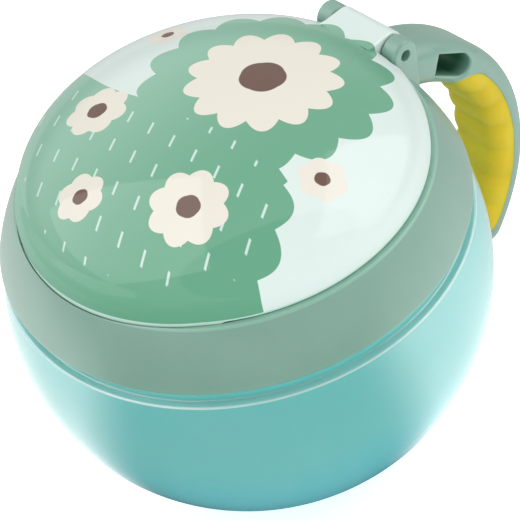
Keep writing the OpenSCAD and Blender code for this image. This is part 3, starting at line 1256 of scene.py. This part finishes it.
    def build(self, material: Material) -> None:
        """Makes the handle and its grip.

        Args:
            material: The lid's plastic.
        """
        s = self.stack
        arm = self.whole()
        combine(arm, self.grip_prism("recess", 0.0), Join.CUT)
        combine(arm, self.core(), Join.ADD)
        combine(arm, self.slot_cutter(), Join.CUT)
        low, high = s.tilt(self.room_z, s.collar_r), s.tilt(s.top_z - 0.3, s.collar_r)
        reach = s.collar_r - self.bury
        wall = [corner[:2] for corner in arc((0, s.belly_z), (reach, reach), low, high, 20)]
        room = lathe("lid_room", [(0.0, wall[0][1]), *wall, (0.0, wall[-1][1])], s.segments)
        combine(arm, room, Join.CUT)
        dress(polish(arm), material, "lid", Part.LID, ["handle_arm"])
        start, end = self.grip_from - self.grip_over[0], self.grip_to + self.grip_over[1]
        grip = surface("grip_skin", self.rows(self.loop_section(0.0), start, end, self.grip_step))
        self.ribs(grip)
        combine(grip, self.grip_prism("grip_block", 0.05), Join.COMMON)
        combine(grip, self.core(), Join.CUT)
        rubber = SoftRubber("yellow_grip", (242, 208, 52), (234, 198, 44))
        dress(polish(grip, 40), rubber.make(), "lid", Part.GRIP, ["handle_grip"])


@dataclass
class Cover:
    """The domed flip cover with its thumb lip, hinge tongue and seal ring."""

    stack: Stack
    lip_angle: float = 48.5
    lip_drop: float = 0.8
    lip_fade: float = 3.0
    seal_r: float = 32.6
    seal_wall: float = 1.4
    seal_top: float = 70.2
    knuckle_r: float = 3.1
    knuckle_w: float = 12.6
    edge: float = 0.35

    def lip(self, angle: float, radius: float, height: float) -> Point2:
        """Moves a point of the rim out and down where the thumb lip is.

        Args:
            angle: The point's angle about Z.
            radius: Its radius on the plain dome.
            height: Its height on the plain dome.

        Returns:
            Its radius and height with the lip.
        """
        s = self.stack
        off = abs((degrees(angle) + 90 + 180) % 360 - 180)
        a = radians(off)
        out = s.thumb_shift * sin(a)
        reach = s.thumb_shift * cos(a) + sqrt(max(0.0, s.thumb_r**2 - out**2))
        extra = max(0.0, reach - s.cover_r) if off < 90 else 0.0
        near_rim = smooth((radius - s.cover_r + 2.2) / 2.0) if height < s.dome_z + 4 else 0.0
        on_rim = height < s.rim_z + self.edge + 0.05 and radius > s.cover_r - s.cover_wall - 0.6
        drop = self.lip_drop * smooth((self.lip_angle - off) / self.lip_fade) if on_rim else 0.0
        return radius + extra * near_rim, height - drop

    def dome(self, radius: float, depth: float, steps: int) -> list[Corner]:
        """Corners of a dome's line, from its rim up to the axis."""
        line = arc((0, self.stack.dome_z), (radius, depth), 0, 90, steps)
        line[-1] = (0.0, *line[-1][1:])
        return line

    def outer(self) -> Obj:
        """The dome as a full solid."""
        s = self.stack
        rim = [(0.0, s.rim_z, 0.0), (s.cover_r - s.cover_wall, s.rim_z, 0.0), (s.cover_r, s.rim_z, self.edge)]
        corners = [*rim, *self.dome(s.cover_r, s.dome_h, 48)]
        return lathe("cover_dome", rounded(corners, closed=False), s.segments, self.lip)

    def room(self, name: str, grow: float) -> Obj:
        """Block where the ears stand.

        Args:
            name: Name of the object.
            grow: How far it is grown to the front and the sides.

        Returns:
            The block.
        """
        s = self.stack
        half = s.ear_out + 2 * s.gap + grow
        front = s.hinge_y - s.ear_r - 2 * s.gap - grow
        outline = rounded([(half, 60, 0.4), (-half, 60, 0.4), (-half, front, 0.9), (half, front, 0.9)])
        return slab(name, outline, 50, 90, 0.0, "XY")

    def build(self) -> None:
        """Makes the cover."""
        s = self.stack
        wall = s.cover_wall
        shell = self.outer()
        roof = self.dome(s.cover_r - wall, s.dome_h - wall, 40)
        line = rounded([(0.0, 60.0, 0.0), (s.cover_r - wall, 60.0, 0.0), *roof], closed=False)
        hollow = lathe("hollow", line, s.segments)
        combine(hollow, self.room("keep", wall), Join.CUT)
        combine(shell, hollow, Join.CUT)
        seal_in, bottom = self.seal_r - self.seal_wall, s.soft_top + 0.5
        ring = rounded([
            (self.seal_r, bottom, 0.5), (self.seal_r, self.seal_top, 0), (seal_in, self.seal_top, 0),
            (seal_in, bottom, 0.5),
        ])
        combine(shell, lathe("seal", ring, s.segments), Join.ADD)
        combine(shell, self.room("notch", 0.0), Join.CUT)
        y, z, r = s.hinge_y, s.hinge_z, self.knuckle_r
        front = y - s.ear_r - 2 * s.gap - wall
        meet = s.dome_z + s.dome_h * sqrt(1 - (front / s.cover_r) ** 2)
        outline = rounded([
            (front, z - r + 1.0, 0.0), (y - r * 0.4, z - r, 1.0), (y + r, z - r, r - 0.02), (y + r, z + r, r - 0.02),
            (front + 1.6, meet - 0.5, 3.0), (front, meet - 0.15, 0.0),
        ])
        half = self.knuckle_w / 2
        combine(shell, slab("tongue", outline, -half, half, 0.45), Join.ADD)
        bore = lathe("bore", [(0, -8), (s.hole_r, -8), (s.hole_r, 8), (0, 8)], 48)
        bore.data.transform(s.on_hinge())
        combine(shell, bore, Join.CUT)
        shell.name = "flip_cover"
        paint = PrintedCover(s.cover_r, s.dome_z, s.dome_h).make()
        dress(polish(shell), paint, "cover", Part.COVER, ["cover"])


@dataclass
class SoftOpening:
    """The soft ring and its six flaps."""

    stack: Stack
    count: int = 6
    reach: float = 26.6
    thick: float = 1.0
    slit: float = 0.35
    eye: float = 2.5
    tip_angle: float = 22.0
    edge: float = 0.3
    corner: float = 0.8
    mesh_step: float = 0.8
    tuck: float = 1.2
    bend: Point2 = (0.7, -1.3)
    ring_in: float = 20.0
    plug_depth: float = 2.6
    plug_wall: float = 1.2

    def turn(self, number: int) -> float:
        """Direction of a flap in radians."""
        return radians(360 / self.count * (number - 1))

    def ring(self) -> Obj:
        """The soft ring with its plug and its six-sided window."""
        s = self.stack
        outer, plug = s.skirt_in - s.gap, s.neck_in - s.gap
        foot, inner = s.soft_z - self.plug_depth, plug - self.plug_wall
        profile = rounded([
            (self.ring_in, s.soft_z, 0), (inner, s.soft_z, 0.3), (inner, foot, 0.4), (plug, foot, 0.4),
            (plug, s.soft_z, 0.3), (outer, s.soft_z, 0.4), (outer, s.soft_top, 0.5), (self.ring_in, s.soft_top, 0),
        ])
        ring = lathe("soft_ring", profile, 192)
        side = self.reach + self.thick / 2 + s.gap
        corner = side / cos(pi / self.count)
        turns = [pi * (2 * k + 1) / self.count for k in range(self.count)]
        window = rounded([(corner * cos(a), corner * sin(a), 1.5) for a in turns])
        combine(ring, slab("window", window, s.soft_z - 2, s.soft_top + 2, 0.0, "XY"), Join.CUT)
        return ring

    def flap(self, number: int) -> Obj:
        """One flap, which reaches into the ring.

        Args:
            number: 1 to 6.

        Returns:
            The flap, not bent.
        """
        s = self.stack
        half = tan(pi / self.count)
        slit = self.slit / cos(pi / self.count)
        far = self.reach + self.tuck
        first = radians(self.tip_angle)
        turns = [-first + 2 * first * k / 6 for k in range(7)]
        tip = [(self.eye * cos(a), self.eye * sin(a), 0.0) for a in reversed(turns)]
        wide = far * half - slit
        line = rounded([*tip, (far, -wide, self.corner), (far, wide, self.corner)])
        dense: list[Point2] = []
        for (ax, ay), (bx, by) in zip(line, line[1:] + line[:1]):
            steps = max(1, int(hypot(bx - ax, by - ay) / self.mesh_step))
            dense += [(ax + (bx - ax) * k / steps, ay + (by - ay) * k / steps) for k in range(steps)]
        low, high = (s.soft_z + s.soft_top - self.thick) / 2, (s.soft_z + s.soft_top + self.thick) / 2
        piece = slab(f"soft_flap_{number}", dense, low, high, self.edge, "XY")
        piece.data.transform(Matrix.Rotation(self.turn(number), 4, "Z"))
        return piece

    def build(self) -> None:
        """Makes the ring and the flaps."""
        rubber = SoftRubber("milky_silicone", (226, 232, 226), (216, 224, 218), 0.45).make()
        dress(polish(self.ring()), rubber, "soft_opening", Part.SOFT, ["flap_ring"])
        for number in range(1, self.count + 1):
            name = f"flap_{number}"
            flap = polish(self.flap(number), 50)
            angle = self.turn(number)
            dress(flap, rubber, "", Part.SOFT, [name])
            reaches = [self.reach + shift for shift in self.bend]
            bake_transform(flap)


@dataclass(frozen=True)
class Lamp:
    """One soft lamp: its direction in degrees, distance, size and power."""

    azimuth: float
    elevation: float
    distance: float
    size: float
    power: float
    mirrored: bool = True


@dataclass
class Studio:
    """Floor, light and camera, as the photograph has them.

    The camera is in degrees, millimetres and pixels. The shine and card values belong to what glossy
    surfaces mirror: where a step starts and ends, and its strength there.
    """

    azimuth: float = 57.12
    elevation: float = 44.9
    roll: float = -14.43
    distance: float = 414.9
    target: tuple[float, float, float] = (1.12, 2.10, 38.45)
    focal_px: float = 2252.0
    picture_px: float = 520.0
    world: float = 0.56
    dark_side: tuple[float, float, float] = (75.0, 50.0, 38.7)
    floor_dark: float = 45.0
    floor_shade: float = 0.9
    floor_glow: float = 0.66
    floor_half: float = 2500.0
    shine_near: tuple[float, ...] = (-0.95, 0.0, 0.55, 1.6)
    shine_far: tuple[float, ...] = (0.35, 0.78, 1.0, 0.05)
    card_up: tuple[float, ...] = (0.1, 0.35, 0.35, 1.0)
    card_soft: float = 0.012
    aim_z: float = 0.04
    lamps: tuple[Lamp, ...] = (
        Lamp(-42.0, 54.0, 0.8, 0.8, 2.4),
        Lamp(70.0, 6.0, 0.9, 0.7, 3.4, mirrored=False),
        Lamp(150.0, 40.0, 0.9, 0.8, 2.2),
    )

    def axes(self, azimuth: float, elevation: float) -> tuple[Vector, Vector, Vector]:
        """Right, up and back of a viewer.

        Args:
            azimuth: Degrees round the object; 0 looks along +Y.
            elevation: Degrees above the floor.

        Returns:
            Three unit vectors.
        """
        a, e = radians(azimuth), radians(elevation)
        back = Vector((sin(a) * cos(e), -cos(a) * cos(e), sin(e)))
        right = Vector((cos(a), sin(a), 0))
        return right, back.cross(right), back

    def put(self, name: str, data: Any, axes: tuple[Vector, Vector, Vector], position: Vector) -> Obj:
        """Links a camera or lamp.

        Args:
            name: Its name.
            data: Its data.
            axes: Its right, up and back.
            position: Its place in metres.

        Returns:
            The object.
        """
        thing = bpy.data.objects.new(name, data)
        bpy.context.scene.collection.objects.link(thing)
        matrix = Matrix(axes).transposed().to_4x4()
        matrix.translation = position
        thing.matrix_world = matrix
        return thing

    def camera(self, sensor: float = 36.0) -> None:
        """Puts the camera at the photograph's angle.

        Args:
            sensor: Width of the film in millimetres.
        """
        right, up, back = self.axes(self.azimuth, self.elevation)
        roll = radians(self.roll)
        side = right * cos(roll) + up * sin(roll)
        top = up * cos(roll) - right * sin(roll)
        data = bpy.data.cameras.new("camera")
        data.sensor_width, data.lens = sensor, self.focal_px / self.picture_px * sensor
        data.clip_start, data.clip_end = 0.01, 20.0
        position = Vector(self.target) * MM + back * (self.distance * MM)
        bpy.context.scene.camera = self.put("camera", data, (side, top, back), position)

    def seen(self, graph: Graph, rays: Any) -> Value:
        """1 for what the camera sees, also through clear pieces."""
        return Value(graph, rays["Is Camera Ray"]).high(Value(graph, rays["Is Transmission Ray"]))

    def light(self) -> None:
        """Puts up the soft lamps and the pale world, which looks like a white room in reflections."""
        middle = Vector((0, 0, self.aim_z))
        for number, spec in enumerate(self.lamps):
            axes = self.axes(spec.azimuth, spec.elevation)
            data = bpy.data.lights.new(f"lamp_{number}", "AREA")
            data.energy, data.size = spec.power, spec.size
            lamp = self.put(f"lamp_{number}", data, axes, middle + axes[2] * spec.distance)
            lamp.visible_glossy = spec.mirrored
        world = bpy.data.worlds.new("studio")
        world.use_nodes = True
        bpy.context.scene.world = world
        graph = Graph(world.node_tree)
        world.node_tree.nodes.clear()
        rays = graph.node("ShaderNodeLightPath").outputs
        mirrored = Value(graph, rays["Is Glossy Ray"])
        azimuth, elevation, spread = self.dark_side
        towards = self.axes(azimuth, elevation)[2]
        way = graph.node("ShaderNodeTexCoord").outputs["Generated"]
        facing = graph.value("ShaderNodeVectorMath", {0: way, 1: towards}, "Value", operation="DOT_PRODUCT")
        edge = cos(radians(spread))
        up = graph.split(way)[2]
        card = facing.ramp(edge - self.card_soft, edge + self.card_soft, 1.0, 0.2) * up.ramp(*self.card_up)
        strength = self.seen(graph, rays).high(mirrored * card).high((1.0 - mirrored) * self.world)
        light = graph.node("ShaderNodeBackground", {"Color": (1, 1, 1, 1), "Strength": strength})
        graph.node("ShaderNodeOutputWorld", {"Surface": light.outputs[0]})

    def floor(self) -> None:
        """Lays a plain pale floor, which is dark in reflections on one side."""
        bm = bmesh.new()
        bmesh.ops.create_grid(bm, x_segments=1, y_segments=1, size=self.floor_half)
        floor = new_piece("floor", bm)
        material = bpy.data.materials.new("pale_floor")
        material.use_nodes = True
        material.node_tree.nodes.clear()
        graph = Graph(material.node_tree)
        rays = graph.node("ShaderNodeLightPath").outputs
        x, y, _ = graph.split(graph.node("ShaderNodeTexCoord").outputs["Object"])
        a = radians(self.floor_dark)
        facing = (x * sin(a) - y * cos(a)) / x.hypot(y)
        shine = facing.ramp(*self.shine_near) * facing.ramp(*self.shine_far)
        white, shade = (1, 1, 1, 1), self.floor_shade
        plain = graph.node("ShaderNodeBsdfDiffuse", {"Color": (shade, shade, shade, 1)})
        mirrored = graph.node("ShaderNodeEmission", {"Color": white, "Strength": shine})
        mixed = {0: rays["Is Glossy Ray"], 1: plain.outputs[0], 2: mirrored.outputs[0]}
        lit = graph.node("ShaderNodeMixShader", mixed)
        strength = self.seen(graph, rays) * self.floor_glow
        glow = graph.node("ShaderNodeEmission", {"Color": white, "Strength": strength})
        both = graph.node("ShaderNodeAddShader", {0: lit.outputs[0], 1: glow.outputs[0]})
        graph.node("ShaderNodeOutputMaterial", {"Surface": both.outputs[0]})
        floor.data.materials.append(material)

    def build(self) -> None:
        """Sets the whole studio."""
        bpy.context.scene.view_settings.view_transform = "Standard"
        self.camera()
        self.light()
        self.floor()


def main() -> None:
    """Builds the studio and every piece."""
    logging.basicConfig(level=logging.INFO, format="%(name)s: %(message)s")
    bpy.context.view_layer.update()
    Studio().build()
    stack = Stack()
    handle = Handle(stack)
    sage = SatinPlastic("sage_lid", (130, 171, 155), (125, 166, 150), handle.slot_place()).make()
    Bowl(stack).build()
    LidRing(stack).build(sage)
    handle.build(sage)
    Cover(stack).build()
    SoftOpening(stack).build()


if __name__ == "__main__":
    main()
